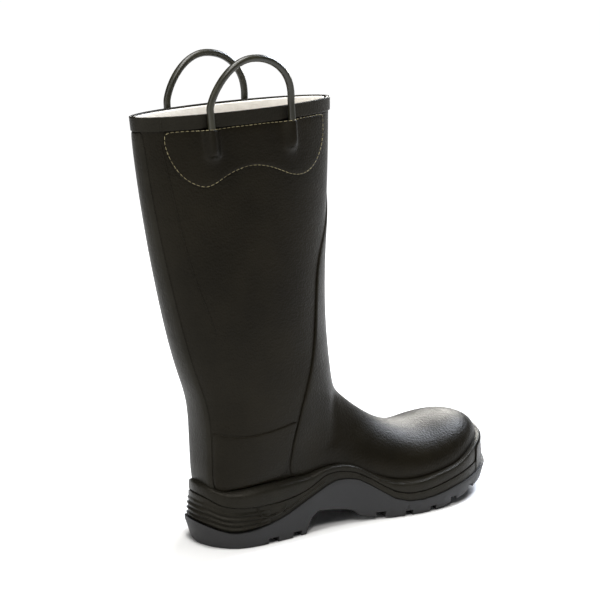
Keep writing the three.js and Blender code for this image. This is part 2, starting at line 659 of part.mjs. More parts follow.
// ---------- Sole unit ----------
const shifted = (height, by) => (x) => height(x) + by;
const outsoleDish = (x) => {
  const arch = ease(x, along(84), along(104)) * (1 - ease(x, along(138), along(160)));
  return outsoleTop(x) - DISH * arch;
};
const plateTop = shifted(footUnderside, -2 * CLEARANCE);
const midsoleTop = shifted(plateTop, -(STEEL_PLATE + CLEARANCE));
const BUMPER_ENDS = { heel: 52, toe: 268 };

// The midsole's edge steps in behind the heel bumper and the toe bumper.
function midsoleEdge(x) {
  const heel = 1 - ease(x, along(44), along(BUMPER_ENDS.heel + 2));
  const toe = ease(x, LENGTH - 44, LENGTH - 30);
  const open = mix(MIDSOLE_EDGE, insetAt(HEEL_SEAT, x), heel);
  return mix(open, insetAt(FOXING_OUTER, x), toe);
}

// Bars across the tread, pointing forwards from each side to the middle.
const TREAD_BARS = [
  { from: 48.6, to: 58.7, slant: 0 }, { from: 73.6, to: 83.2, slant: 0 },
  { from: 158.9, to: 168.2, slant: 12 }, { from: 186.4, to: 193.8, slant: 14 },
  { from: 212.3, to: 218.5, slant: 16 }, { from: 236.3, to: 243.2, slant: 18 },
  { from: 262, to: 268, slant: 20 },
];
const TREAD_RIB = 8; // solid rubber along the middle between the bars, half its width

function treadCutter({ from, to, slant }, side) {
  const half = (along(to) - along(from)) / 2;
  const centre = (along(from) + along(to)) / 2;
  const edge = Math.abs(centreLine(centre) + side * sideHalf(side, centre));
  const base = treadHeight(centre);
  const low = [-half, side > 0 ? TREAD_RIB : -edge - TREAD_RIB, base - TREAD_DEPTH];
  const high = [half, side > 0 ? edge + TREAD_RIB : -TREAD_RIB, base + TREAD_DEPTH];
  const bar = box(low, high).rotateZ(radians(side * slant));
  return bar.translate(centre + Math.tan(radians(slant)) * edge, 0, 0);
}

function makeOutsole() {
  const wall = (x) => mix(treadHeight(x), outsoleTop(x), 0.82);
  const plate = loft([
    spine(26, outsoleDish),
    ring(12, outsoleDish),
    ring(8, outsoleTop),
    ring(OUTSOLE_LIP, outsoleTop),
    ring(OUTSOLE_LIP, wall),
    ring(UNDERCUT, shifted(treadHeight, 1.2)),
    ring({ side: 2, heel: 7.4, toe: 4 }, treadHeight),
    spine(26, treadHeight),
  ]);
  const cutters = TREAD_BARS.flatMap((bar) => [-1, 1].map((side) => treadCutter(bar, side)));
  add("outsole", cut(plate, ...cutters), SOLE_RUBBER);
}

// The bed of the shank, or with no growth the shank's own strip.
function shankStrip(grow) {
  const xs = steps(along(SHANK.from) - grow, along(SHANK.to) + grow, 10);
  const half = SHANK.width / 2 + grow;
  const rings = xs.map((x) => {
    const top = midsoleTop(x) + (grow ? 2 * SHANK.thick : -CLEARANCE);
    const base = midsoleTop(x) - CLEARANCE - SHANK.thick - grow;
    const corners = [[-half, base], [half, base], [half, top], [-half, top]];
    return corners.map(([y, z]) => new THREE.Vector3(x, y, z));
  });
  const drawnIn = (ring) => {
    const middle = ring.reduce((sum, point) => sum.add(point), new THREE.Vector3()).divideScalar(4);
    return ring.map(() => middle);
  };
  return loft([drawnIn(rings[0]), ...rings, drawnIn(rings[rings.length - 1])]);
}

function fillerBlock(grow) {
  const [from, to] = [FILLER.from - grow, along(FILLER.to) + grow];
  const half = FILLER.half + grow;
  const base = outsoleTop(along(FILLER.to)) + FILLER.floor - grow;
  const top = midsoleTop(along(30)) + (grow ? HEIGHT : -FILLER.top);
  const shape = new THREE.Shape();
  shape.moveTo(to, -half);
  shape.lineTo(to, half);
  shape.lineTo(from + FILLER.half, half);
  shape.absarc(from + FILLER.half, 0, half, Math.PI / 2, (3 * Math.PI) / 2);
  const block = new THREE.ExtrudeGeometry(shape, {
    depth: top - base, bevelEnabled: false, curveSegments: 8,
  });
  return closed(block.translate(0, 0, base));
}

function makeMidsole() {
  const low = shifted(outsoleTop, SOLE_GAP);
  const dish = shifted(outsoleDish, 2 * SOLE_GAP);
  const lipTop = shifted(foxingBase, -CLEARANCE);
  const higher = (x) => Math.max(lipTop(x), midsoleTop(x));
  const shoulder = shiftedInset(FOXING_INNER, CLEARANCE);
  const plate = loft([
    spine(26, dish), ring(12, dish), ring(8, low), ring(midsoleEdge, low), ring(midsoleEdge, lipTop),
    ring(shoulder, lipTop), ring(shoulder, higher), ring(11, midsoleTop), ring(17, midsoleTop),
    spine(26, midsoleTop),
  ]);
  add("midsole", cut(plate, shankStrip(CLEARANCE), fillerBlock(CLEARANCE)), SOLE_RUBBER);
  add("heel_filler", fillerBlock(0), FOAM);
  const rungs = [];
  const pitch = (along(SHANK.to) - along(SHANK.from)) / (SHANK.rungs + 0.5);
  for (let i = 0; i < SHANK.rungs; i++) {
    const start = along(SHANK.from) + pitch * (i + 0.35);
    const half = SHANK.width / 2 - 4;
    rungs.push(box([start, -half, 0], [start + pitch * 0.7, half, HEIGHT]));
  }
  add("ladder_shank", cut(shankStrip(0), ...rungs), STEEL);
}

function shiftedInset(inset, by) {
  return (x) => insetAt(inset, x) + by;
}

// A flat plate under the foot between two heights.
function platePiece(inset, base, top) {
  return loft([
    spine(26, top), ring(inset, top), ring(inset, base), spine(26, base),
  ]);
}

function makeFoxing() {
  const middle = (share) => (x) => mix(foxingBase(x), foxingTop(x), share);
  const rings = [
    ring(FOXING_INNER, foxingBase),
    ring(shiftedInset(FOXING_OUTER, 0.4), foxingBase),
    ring(FOXING_OUTER, middle(0.25)),
    ring(FOXING_OUTER, middle(0.8)),
    ring(shiftedInset(FOXING_OUTER, 0.9), foxingTop),
    ring(FOXING_INNER, foxingTop),
  ];
  add("foxing_strip", loft([...rings, rings[0]]), TRIM_RUBBER);
}

// A band around one end of the sole, between two heights, thinning out towards its ends. Its ribs fade
// out past a distance from the tip.
function bumper(xs, seat, base, top, ribs, ribbed) {
  const places = [...xs.map((x) => [x, -1]).reverse(), ...xs.slice(1).map((x) => [x, 1])];
  const rows = steps(0, ribs, 2 * ribs);
  const point = (x, side, inset, share) => {
    const p = outlinePoint(x, side, inset);
    return new THREE.Vector3(p.x, p.y, mix(base(p.x), top(p.x), share / ribs));
  };
  const fade = (x) => 1 - ease(Math.abs(x - xs[0]), ribbed, ribbed + 8);
  const sections = places.map(([x, side]) => {
    const inner = insetAt(seat, x) - CLEARANCE;
    const outer = Math.min(insetAt(BUMPER_OUTER, x), inner - 0.5);
    const rib = Math.min(BUMPER_RIB, inner - outer - 0.3) * fade(x);
    const rounding = (row) => Math.min(BUMPER_ROUND * (row / ribs) ** 3, inner - 0.5 - outer);
    const depth = (row) => Math.min(rounding(row) + (row % 1 === 0 ? rib : 0), inner - 0.3 - outer);
    const face = rows.map((row) => point(x, side, outer + depth(row), row));
    const back = rows.map((row) => point(x, side, inner, row));
    return [...face, ...back.reverse()];
  });
  const drawnIn = (section) => {
    const back = section.slice(rows.length);
    return [...[...back].reverse(), ...back];
  };
  return loft([drawnIn(sections[0]), ...sections, drawnIn(sections[sections.length - 1])]);
}

function makeBumpers() {
  const heelXs = STATIONS.filter((x) => x < along(BUMPER_ENDS.heel));
  const toeXs = STATIONS.filter((x) => x > LENGTH - (DRAWN.length - BUMPER_ENDS.toe)).reverse();
  const over = shifted(outsoleTop, SOLE_GAP + CLEARANCE);
  add(
    "heel_bumper",
    bumper(heelXs, midsoleEdge, over, shifted(foxingBase, -CLEARANCE), 5, 44),
    TRIM_RUBBER,
  );
  add(
    "toe_bumper",
    bumper(toeXs, FOXING_OUTER, over, shifted(foxingTop, -2), 6, 22),
    TRIM_RUBBER,
  );
}

// ---------- Inside the foot ----------
const floorOf = (x) => {
  const cap = (CAP_STEEL + CLEARANCE) * ease(x, along(CAP_REAR) - 26, along(CAP_REAR) - 6);
  return footUnderside(x) + RUBBER + CLEARANCE + LINING + CLEARANCE + cap;
};

function makeInside() {
  const runs = sectionRuns(SECTION.legEnd + 2, LAST);
  const room = (run) => liningInner(run) - 2 * CLEARANCE;
  const levels = runs.map((run) => TURNS.map((turn) => skin(run, turn, room(run))));
  const middle = skin(runs[0], 0, 0).lerp(skin(runs[0], 180, 0), 0.5);
  const cavity = loft([TURNS.map(() => middle), ...levels]);
  const boardTop = shifted(floorOf, INSOLE_BOARD);
  const bedBase = shifted(boardTop, CLEARANCE);
  const below = shifted(footUnderside, -2);
  add("insole_board", common(cavity, platePiece(8, below, boardTop)), BOARD);
  add("footbed", common(cavity, platePiece(8, bedBase, shifted(bedBase, FOOTBED))), FOAM);
  add(
    "steel_midsole_plate",
    platePiece(18, shifted(plateTop, -STEEL_PLATE), plateTop),
    STEEL,
  );
  const capRuns = [capRun, ...sectionRows.map((row) => row[0]).filter((run) => run > capRun + 2)];
  const capFace = () => -(RUBBER + CLEARANCE);
  const shell = sleeve(capRuns, () => capFace() - CAP_STEEL, capFace);
  const open = platePiece(shiftedInset(UPPER_INSET, 8), () => 0, shifted(footUnderside, 9));
  add("steel_toe_cap", cut(shell, open), STEEL);
  add(
    "toe_cap_binding",
    sheet(
      [capRun - 7, capRun - 4, capRun - 1], steps(-8, 8, 16).map(turnAt),
      (run, turn) => [run, turn],
      () => capFace() - 1.2,
      capFace,
    ),
    TRIM_RUBBER,
  );
}

makeLeg();
makeLining();
makeGuard();
makeHeelTrim();
makeRim();
makeLoops();
makeOutsole();
makeMidsole();
makeFoxing();
makeBumpers();
makeInside();

// The origin is under the middle of the boot's bounding box, on the ground.
const bounds = new THREE.Box3().setFromObject(boot);
boot.position.set(-(bounds.min.x + bounds.max.x) / 2, -(bounds.min.y + bounds.max.y) / 2, -bounds.min.z);
const part = new THREE.Group();
part.add(boot);

export default part;
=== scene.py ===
import json
import math

import bpy
from mathutils import Euler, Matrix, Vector
from mathutils.bvhtree import BVHTree


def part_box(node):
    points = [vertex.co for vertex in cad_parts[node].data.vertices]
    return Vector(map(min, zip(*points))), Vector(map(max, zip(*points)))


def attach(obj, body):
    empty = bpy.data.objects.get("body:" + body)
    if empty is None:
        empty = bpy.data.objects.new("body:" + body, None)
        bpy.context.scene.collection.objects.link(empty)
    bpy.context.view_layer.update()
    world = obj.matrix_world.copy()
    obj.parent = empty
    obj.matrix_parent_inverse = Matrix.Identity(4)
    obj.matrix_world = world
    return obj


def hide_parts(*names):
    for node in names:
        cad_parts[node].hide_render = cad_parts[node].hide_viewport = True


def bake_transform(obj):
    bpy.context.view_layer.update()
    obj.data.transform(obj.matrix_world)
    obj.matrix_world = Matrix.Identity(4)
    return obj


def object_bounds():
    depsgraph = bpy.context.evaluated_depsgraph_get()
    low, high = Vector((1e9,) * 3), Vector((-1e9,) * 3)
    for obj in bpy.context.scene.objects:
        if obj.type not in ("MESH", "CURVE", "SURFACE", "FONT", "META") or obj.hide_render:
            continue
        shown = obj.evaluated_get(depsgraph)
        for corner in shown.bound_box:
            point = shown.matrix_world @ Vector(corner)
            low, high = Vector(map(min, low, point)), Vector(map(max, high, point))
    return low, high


bl_info = {
    "name": "Rubber fire boot",
    "version": (1, 0, 0),
    "blender": (4, 5, 0),
    "location": "3D View > Sidebar > Fire Boot",
    "description": "Dresses the packed boot with moulded rubber, felt, stitching and pull loops",
    "category": "Mesh",
}

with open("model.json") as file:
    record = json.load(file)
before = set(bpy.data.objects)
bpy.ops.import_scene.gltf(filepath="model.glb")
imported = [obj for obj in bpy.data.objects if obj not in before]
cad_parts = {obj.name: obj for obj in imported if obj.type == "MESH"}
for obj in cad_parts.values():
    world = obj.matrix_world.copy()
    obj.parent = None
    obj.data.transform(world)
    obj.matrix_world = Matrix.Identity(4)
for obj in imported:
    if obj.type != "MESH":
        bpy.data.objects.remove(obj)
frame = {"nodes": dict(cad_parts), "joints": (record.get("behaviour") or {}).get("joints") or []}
CAD_LOW, CAD_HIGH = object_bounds()
MM = 0.001
SIDES = {"outer": -1, "inner": 1}

# Lines on both sides of the boot. Each point is x from the heel's back and z from the ground, in mm.
CALF_SEAM = ((18, 346), (20, 336), (27, 302), (33, 271), (43, 233), (53, 206), (58, 189))
RIM_LAP = ((17, 358), (17, 362), (17, 366), (16, 370))
LENS_PANEL = ((91, 38), (96, 43), (104, 44), (114, 39), (122, 31), (114, 26), (104, 24), (96, 26))
ANKLE_FOLD = ((183, 112), (181, 100), (179, 88), (177, 78))
VAMP_RIDGE = ((164, 77), (165, 68), (166, 60))
# Each fold's line, depth and half width in mm. A negative depth is a ridge.
FOLDS = ((ANKLE_FOLD, 1.3, 5.0), (VAMP_RIDGE, -0.45, 2.4))
FOLD_CLEAR = 8  # the middle of the boot that the folds leave alone, to each side, mm

BEAD_START = 118  # the midsole bead's ends, from the heel's back, mm
BEAD_END = 266
BEAD_STEPS = 80
BEAD_RISE = 4.5  # how far the bead runs above the outsole's upper edge, mm
SIDE_REACH = 0.3  # where rays towards the sides start, well clear of the boot, m

LOOP_LEAN = 4  # how far each loop leans outwards, degrees
LOOP_FULLNESS = {"front": 0.9, "rear": 1.4}  # a lower number makes that half of the arch fuller

LEG_AIM = Vector((CAD_LOW.x + 0.1, 0, 0.3))
TOE_AIM = Vector((CAD_HIGH.x - 0.06, 0, 0.06))
# Name, place and aim, size in m, power in W and tint of each lamp
LAMPS = (
    ("overhead", (-0.15, 0.0, 1.75), LEG_AIM, (0.8, 0.8), 30, (1, 0.99, 0.97)),
    ("rim_light", (-0.45, -0.9, 1.55), LEG_AIM, (0.5, 0.5), 12, (1, 0.99, 0.96)),
    ("window", (1.0, 0.25, 1.0), TOE_AIM, (0.4, 0.6), 24, (0.80, 0.87, 1)),
    ("back_key", (1.05, 0.95, 0.62), TOE_AIM, (0.5, 0.35), 13, (1, 0.98, 0.93)),
    ("left_fill", (-1.4, -0.35, 0.8), LEG_AIM, (0.4, 1.3), 6, (1, 1, 0.98)),
)
ROOM_LIGHT = 0.08
FLOOR_SIZE = 40
FLOOR_OVAL = (0.20, 0.075)  # half length and half width of the shaded oval under the boot, m

CAMERA_AIM = Vector((CAD_LOW.x + 0.154, 0.0025, 0))
CAMERA_SIDE = 34.2  # where the camera stands, turned from the outer side towards the heel, degrees
CAMERA_AWAY = 1.352
CAMERA_HEIGHT = 0.511
CAMERA_TURN = 34.5  # where it looks, degrees
CAMERA_DIP = 12.95
CAMERA_LENS = 96.2
CAMERA_SENSOR = 36


# ---------- Sizes and colours ----------
def length(label, description, default):
    return bpy.props.FloatProperty(
        name=label, description=description, default=default, min=0, unit="LENGTH", precision=5
    )


def colour(label, description, default):
    return bpy.props.FloatVectorProperty(
        name=label, description=description, default=default, size=3, min=0, max=1, subtype="COLOR"
    )


class BootSizes(bpy.types.PropertyGroup):
    guard_step: length("Guard step", "How far the shin guard stands off the leg", 0.9 * MM)
    stay_step: length("Backstay step", "How far the strip up the back stands off the leg", 1.2 * MM)
    cover_step: length("Heel cover step", "How far the heel covers stand off the leg", 0.35 * MM)
    patch_step: length("Patch step", "How far the loop patches stand off the leg", 1.15 * MM)
    guard_roll: length("Guard edge", "Width of the rolled edge of the shin guard", 1.8 * MM)
    stay_roll: length("Backstay edge", "Width of the rolled edge of the backstay", 3.2 * MM)
    cover_roll: length("Heel cover edge", "Width of the rolled edge of the heel covers", 2.2 * MM)
    patch_roll: length("Patch edge", "Width of the rolled edge of the loop patches", 0.9 * MM)
    cord: length("Loop cord", "Thickness of the pull loops", 6 * MM)
    stitch: length("Stitch", "Length of one stitch around a patch", 2.6 * MM)
    stitch_gap: length("Stitch gap", "Rubber between two stitches", 1.5 * MM)
    thread: length("Thread", "Thickness of the stitching thread", 0.36 * MM)
    grain: length("Grain", "Size of one pebble of the moulded grain", 1.7 * MM)
    seam: length("Seam", "Thickness of the calf seam and of the bead along the midsole", 0.9 * MM)


class BootColours(bpy.types.PropertyGroup):
    rubber: colour("Rubber", "Leg, foot and overlays", (0.0072, 0.0062, 0.0042))
    trim: colour("Trim", "Backstay, rim band, foxing and bumpers", (0.0125, 0.0118, 0.0100))
    sole: colour("Sole", "Midsole and outsole", (0.0175, 0.0171, 0.0168))
    loops: colour("Loops", "Pull loops", (0.014, 0.0135, 0.008))
    felt: colour("Felt", "Lining of the leg", (0.79, 0.76, 0.71))
    thread: colour("Thread", "Line of stitches around the patches", (0.40, 0.35, 0.20))
    floor: colour("Floor", "Studio floor", (0.93, 0.93, 0.93))


def sizes():
    return bpy.context.scene.boot_sizes


def colours():
    return bpy.context.scene.boot_colours


# ---------- Shaping ----------
def put(piece):
    """Selects one piece alone and makes it active."""
    bpy.ops.object.select_all(action="DESELECT")
    piece.select_set(True)
    bpy.context.view_layer.objects.active = piece
    return piece


class Editing:
    """Edit mode on one piece, with nothing selected to begin with."""

    def __init__(self, piece, mode="VERT"):
        self.piece = piece
        self.mode = mode

    def __enter__(self):
        put(self.piece)
        bpy.ops.object.mode_set(mode="EDIT")
        bpy.ops.mesh.select_mode(type=self.mode)
        bpy.ops.mesh.select_all(action="DESELECT")
        return self.piece

    def __exit__(self, *_):
        bpy.ops.object.mode_set(mode="OBJECT")


def new_piece(name, mesh):
    piece = bpy.data.objects.new(name, mesh)
    bpy.context.scene.collection.objects.link(piece)
    return piece


def copy_of(name, *nodes):
    """A copy of CAD nodes as one mesh of four-sided faces."""
    copies = []
    for node in nodes:
        copies.append(new_piece(name, frame["nodes"][node].data.copy()))
    put(copies[0])
    for other in copies[1:]:
        other.select_set(True)
    if len(copies) > 1:
        bpy.ops.object.join()
    piece = copies[0]
    piece.data.materials.clear()
    while piece.data.uv_layers:
        piece.data.uv_layers.remove(piece.data.uv_layers[0])
    piece.name = name
    with Editing(piece):
        bpy.ops.mesh.select_all(action="SELECT")
        bpy.ops.mesh.remove_doubles(threshold=0.01 * MM)
        bpy.ops.mesh.customdata_custom_splitnormals_clear()
        bpy.ops.mesh.tris_convert_to_quads(face_threshold=math.pi, shape_threshold=math.pi)
    return piece


def modify(piece, kind, **values):
    """Adds a modifier, sets it and applies it."""
    modifier = piece.modifiers.new(kind.title(), kind)
    for key, value in values.items():
        setattr(modifier, key, value)
    put(piece)
    bpy.ops.object.modifier_apply(modifier=modifier.name)
    return piece


def crease_sharp(piece, angle, crease):
    with Editing(piece, "EDGE"):
        bpy.ops.mesh.edges_select_sharp(sharpness=math.radians(angle))
        bpy.ops.transform.edge_crease(value=crease)


def smooth_out(piece, levels):
    modify(piece, "SUBSURF", levels=levels, render_levels=levels)
    put(piece)
    bpy.ops.object.shade_smooth()
    return piece


def surface_of(piece):
    mesh = piece.data
    points = [vertex.co.copy() for vertex in mesh.vertices]
    return BVHTree.FromPolygons(points, [face.vertices[:] for face in mesh.polygons])


def swell(piece, distance):
    """Moves all points along their normals."""
    with Editing(piece):
        bpy.ops.mesh.select_all(action="SELECT")
        bpy.ops.transform.shrink_fatten(value=distance)


def outer_face(name, node, skin):
    """The outward side of a CAD sheet, as an open surface."""
    piece = copy_of(name, node)
    with Editing(piece, "FACE"):
        bpy.ops.object.mode_set(mode="OBJECT")
        for face in piece.data.polygons:
            nearest = skin.find_nearest(face.center)[0]
            away = (face.center - nearest).normalized()
            face.select = away.dot(face.normal) < 0.2
        bpy.ops.object.mode_set(mode="EDIT")
        bpy.ops.mesh.delete(type="FACE")
    return piece


def overlay(name, node, skin, step, cad_step, roll):
    """An overlay with a rolled edge, bedded on the skin."""
    piece = outer_face(name, node, skin)
    swell(piece, step - cad_step)
    with Editing(piece, "FACE"):
        bpy.ops.mesh.select_all(action="SELECT")
        bpy.ops.mesh.inset(thickness=roll, use_boundary=True, use_even_offset=True)
        bpy.ops.mesh.select_mode(type="VERT")
        bpy.ops.mesh.select_all(action="DESELECT")
        bpy.ops.mesh.select_non_manifold(
            extend=False, use_wire=False, use_boundary=True, use_multi_face=False,
            use_non_contiguous=False, use_verts=False,
        )
        bpy.ops.transform.shrink_fatten(value=-0.75 * step)
    modify(piece, "SOLIDIFY", thickness=1.6 * MM, offset=-1)
    return smooth_out(piece, 2)


def gap_to_line(x, z, start, end):
    """Distance in the x-z plane from a point to a straight piece of line."""
    along = Vector((end[0] - start[0], end[1] - start[1]))
    out = Vector((x - start[0], z - start[1]))
    share = min(max(out.dot(along) / along.length_squared, 0), 1)
    return (out - along * share).length


def fold(piece):
    """Presses the soft folds of the ankle into both sides of a piece."""
    for path, depth, width in FOLDS:
        points = [(CAD_LOW.x + x * MM, z * MM) for x, z in path]
        for vertex in piece.data.vertices:
            x, y, z = vertex.co
            if abs(y) < FOLD_CLEAR * MM:
                continue
            nearest = min(gap_to_line(x, z, a, b) for a, b in zip(points, points[1:]))
            share = math.exp(-((nearest / (width * MM)) ** 2))
            vertex.co.y -= math.copysign(depth * MM * share, vertex.co.y)


def bed_on(piece, skin, reach, depth):
    """Moves the points that face the skin within reach on to it, a little way in."""
    moved = []
    for vertex in piece.data.vertices:
        nearest, normal, _, distance = skin.find_nearest(vertex.co)
        facing = (nearest - vertex.co).normalized().dot(vertex.normal)
        if distance < 1.5 * MM or (distance < reach and facing > 0.15):
            moved.append((vertex, nearest - normal * depth))
    for vertex, place in moved:
        vertex.co = place


def border_of(node, skin):
    """The border of a CAD sheet's outer face, as one ordered loop of points."""
    sheet = outer_face("border_guide", node, skin)
    mesh = sheet.data
    uses = {}
    for face in mesh.polygons:
        for key in face.edge_keys:
            uses[key] = uses.get(key, 0) + 1
    beside = {}
    for (a, b), count in uses.items():
        if count == 1:
            beside.setdefault(a, []).append(b)
            beside.setdefault(b, []).append(a)
    first = min(beside)
    loop = [first]
    before, here = None, first
    while True:
        following = [v for v in beside[here] if v != before]
        before, here = here, following[0]
        if here == first:
            break
        loop.append(here)
    points = [mesh.vertices[i].co.copy() for i in loop]
    bpy.data.objects.remove(sheet)
    return points


def eased(points, rounds=3):
    """Evens out a closed loop of points."""
    for _ in range(rounds):
        around = zip(points[-1:] + points[:-1], points, points[1:] + points[:1])
        points = [a * 0.25 + b * 0.5 + c * 0.25 for a, b, c in around]
    return points


def rounded(points, rounds=2):
    """Cuts the corners of a closed loop of points."""
    for _ in range(rounds):
        cut = []
        for a, b in zip(points, points[1:] + points[:1]):
            cut += [a.lerp(b, 0.25), a.lerp(b, 0.75)]
        points = cut
    return points


def tube(name, paths, radius, cyclic=False, resolution=2):
    """Round bars along lists of points, as one mesh."""
    bpy.ops.object.select_all(action="DESELECT")
    bpy.ops.object.add(type="CURVE", location=(0, 0, 0))
    piece = bpy.context.view_layer.objects.active
    piece.name = name
    curve = piece.data
    curve.dimensions = "3D"
    curve.bevel_depth = radius
    curve.bevel_resolution = resolution
    curve.use_fill_caps = not cyclic
    for path in paths:
        spline = curve.splines.new("POLY")
        spline.points.add(len(path) - 1)
        for point, place in zip(spline.points, path):
            point.co = (*place, 1)
        spline.use_cyclic_u = cyclic
    put(piece)
    bpy.ops.object.convert(target="MESH")
    piece = bpy.context.view_layer.objects.active
    with Editing(piece):
        bpy.ops.mesh.select_all(action="SELECT")
        bpy.ops.mesh.remove_doubles(threshold=0.005 * MM)
        bpy.ops.mesh.normals_make_consistent(inside=False)
    bpy.ops.object.shade_smooth()
    return piece


def dashes(points, dash, gap):
    """Cuts a closed loop into dashes of a few points each."""
    closed = points + points[:1]
    marks = [0.0]
    for a, b in zip(closed, closed[1:]):
        marks.append(marks[-1] + (b - a).length)

    def at(place):
        i = max(j for j, mark in enumerate(marks[:-1]) if mark <= place)
        span = max(marks[i + 1] - marks[i], 1e-9)
        return closed[i].lerp(closed[i + 1], (place - marks[i]) / span)

    count = int(marks[-1] / (dash + gap))
    pitch = marks[-1] / count
    cut = []
    for i in range(count):
        start = i * pitch
        cut.append([at(start + share * (pitch - gap)) for share in (0, 0.33, 0.67, 1)])
    return cut


def on_side(surfaces, side, points):
    """Places points, given by x and z in mm, on the outermost surface of one side."""
    placed = []
    for x, z in points:
        start = Vector((CAD_LOW.x + x * MM, side * SIDE_REACH, z * MM))
        hits = [surface.ray_cast(start, Vector((0, -side, 0)))[0] for surface in surfaces]
        found = [hit for hit in hits if hit]
        if found:
            placed.append(max(found, key=lambda hit: hit.y * side))
    return placed


def refined(points, rounds=2):
    """Cuts the corners of an open line of points, with its ends kept."""
    for _ in range(rounds):
        cut = [points[0]]
        for a, b in zip(points, points[1:]):
            cut += [a.lerp(b, 0.25), a.lerp(b, 0.75)]
        points = cut + [points[-1]]
    return points


def finished(piece, material, body, slot, *nodes):
    """Gives a piece its material and its body, and hides the CAD nodes it stands for; the slot is not
    used.
    """
    piece.data.materials.clear()
    piece.data.materials.append(material)
    if nodes:
        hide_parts(*nodes)
    if body:
        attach(piece, body)
    return piece


# ---------- Materials ----------
class Finish:
    """A node material that is built up from object coordinates in metres."""

    def __init__(self, name, base, roughness, metallic=0.0):
        self.material = bpy.data.materials.get(name) or bpy.data.materials.new(name)
        self.material.use_nodes = True
        self.nodes = self.material.node_tree.nodes
        self.links = self.material.node_tree.links
        self.nodes.clear()
        self.shader = self.nodes.new("ShaderNodeBsdfPrincipled")
        output = self.nodes.new("ShaderNodeOutputMaterial")
        self.links.new(self.shader.outputs["BSDF"], output.inputs["Surface"])
        self.base = base
        self.shader.inputs["Base Color"].default_value = (*base, 1)
        self.shader.inputs["Roughness"].default_value = roughness
        self.shader.inputs["Metallic"].default_value = metallic
        self.place = self.nodes.new("ShaderNodeTexCoord").outputs["Object"]
        self.height = None

    def node(self, kind, **inputs):
        made = self.nodes.new(kind)
        for key, value in inputs.items():
            made.inputs[key].default_value = value
        return made

    def stretched(self, scale):
        mapping = self.node("ShaderNodeMapping", Scale=scale)
        self.links.new(self.place, mapping.inputs["Vector"])
        return mapping.outputs["Vector"]

    def noise(self, size, detail=3.0, rough=0.5, vector=None):
        made = self.node("ShaderNodeTexNoise", Scale=1 / size, Detail=detail, Roughness=rough)
        self.links.new(vector or self.place, made.inputs["Vector"])
        return made.outputs["Fac"]

    def pebbles(self, size):
        made = self.node("ShaderNodeTexVoronoi", Scale=1 / size)
        made.feature = "SMOOTH_F1"
        made.inputs["Smoothness"].default_value = 0.35
        self.links.new(self.place, made.inputs["Vector"])
        return made.outputs["Distance"]

    def weave(self, size, axis="X"):
        made = self.node("ShaderNodeTexWave", Scale=math.pi / (10 * size), Distortion=1.2, Detail=2.0)
        made.bands_direction = axis
        self.links.new(self.place, made.inputs["Vector"])
        return made.outputs["Fac"]

    def math(self, operation, first, second):
        made = self.nodes.new("ShaderNodeMath")
        made.operation = operation
        for socket, value in zip(made.inputs, (first, second)):
            if isinstance(value, (int, float)):
                socket.default_value = value
            else:
                self.links.new(value, socket)
        return made.outputs[0]

    def ranged(self, value, low, high, to_low, to_high):
        limits = {"From Min": low, "From Max": high, "To Min": to_low, "To Max": to_high}
        made = self.node("ShaderNodeMapRange", **limits)
        self.links.new(value, made.inputs["Value"])
        return made.outputs["Result"]

    def tinted(self, value, low, high):
        """The base colour between two tints, by a value from 0 to 1."""
        mixed = self.nodes.new("ShaderNodeMix")
        mixed.data_type = "RGBA"
        self.links.new(value, mixed.inputs["Factor"])
        mixed.inputs["A"].default_value = (*[c * k for c, k in zip(self.base, low)], 1)
        mixed.inputs["B"].default_value = (*[c * k for c, k in zip(self.base, high)], 1)
        self.links.new(mixed.outputs["Result"], self.shader.inputs["Base Color"])
        return mixed

    def roughness(self, value, low, high):
        self.links.new(self.ranged(value, 0.3, 0.7, low, high), self.shader.inputs["Roughness"])

    def raise_by(self, value, depth, strength=1.0):
        """Adds a relief of some depth in metres on top of the relief so far."""
        bump = self.node("ShaderNodeBump", Distance=depth, Strength=strength)
        self.links.new(value, bump.inputs["Height"])
        if self.height:
            self.links.new(self.height, bump.inputs["Normal"])
        self.height = bump.outputs["Normal"]
        self.links.new(self.height, self.shader.inputs["Normal"])


def moulded_rubber(name, base, grain=1.0):
    """Satin rubber with a pebbled grain, a soft bloom and light rubbing on its high spots."""
    size = sizes().grain * grain
    finish = Finish(name, base, 0.30)
    patchy = finish.noise(45 * MM, 4, 0.6)
    pebble = finish.pebbles(size)
    fine = finish.noise(0.8 * MM * grain, 3, 0.65)
    cloud = finish.noise(11 * MM, 3, 0.55)
    finish.tinted(finish.ranged(patchy, 0.35, 0.68, 0, 1), (0.75, 0.72, 0.62), (1.3, 1.25, 1.1))
    worn = finish.math("ADD", finish.math("MULTIPLY", fine, 0.6), finish.math("MULTIPLY", cloud, 0.4))
    finish.roughness(worn, 0.30, 0.46)
    finish.raise_by(cloud, 0.30 * MM, 0.5)
    finish.raise_by(pebble, 0.26 * MM, 0.9)
    finish.raise_by(fine, 0.14 * MM, 0.8)
    finish.shader.inputs["Specular IOR Level"].default_value = 0.10
    finish.shader.inputs["Specular Tint"].default_value = (1.0, 0.95, 0.84, 1)
    return finish.material


def leg_rubber():
    return moulded_rubber("leg rubber", colours().rubber)


def trim_rubber():
    return moulded_rubber("trim rubber", colours().trim, grain=0.9)


def tread_rubber(name, base):
    """Dull moulded rubber with a dusty, slightly blue bloom."""
    finish = Finish(name, base, 0.62)
    finish.shader.inputs["Specular IOR Level"].default_value = 0.35
    cloud = finish.noise(14 * MM, 5, 0.6)
    speck = finish.noise(1.3 * MM, 3, 0.65)
    finish.tinted(finish.ranged(cloud, 0.35, 0.7, 0, 1), (0.8, 0.8, 0.82), (1.35, 1.35, 1.4))
    finish.roughness(cloud, 0.52, 0.72)
    finish.raise_by(cloud, 0.2 * MM, 0.4)
    finish.raise_by(speck, 0.12 * MM, 0.7)
    return finish.material


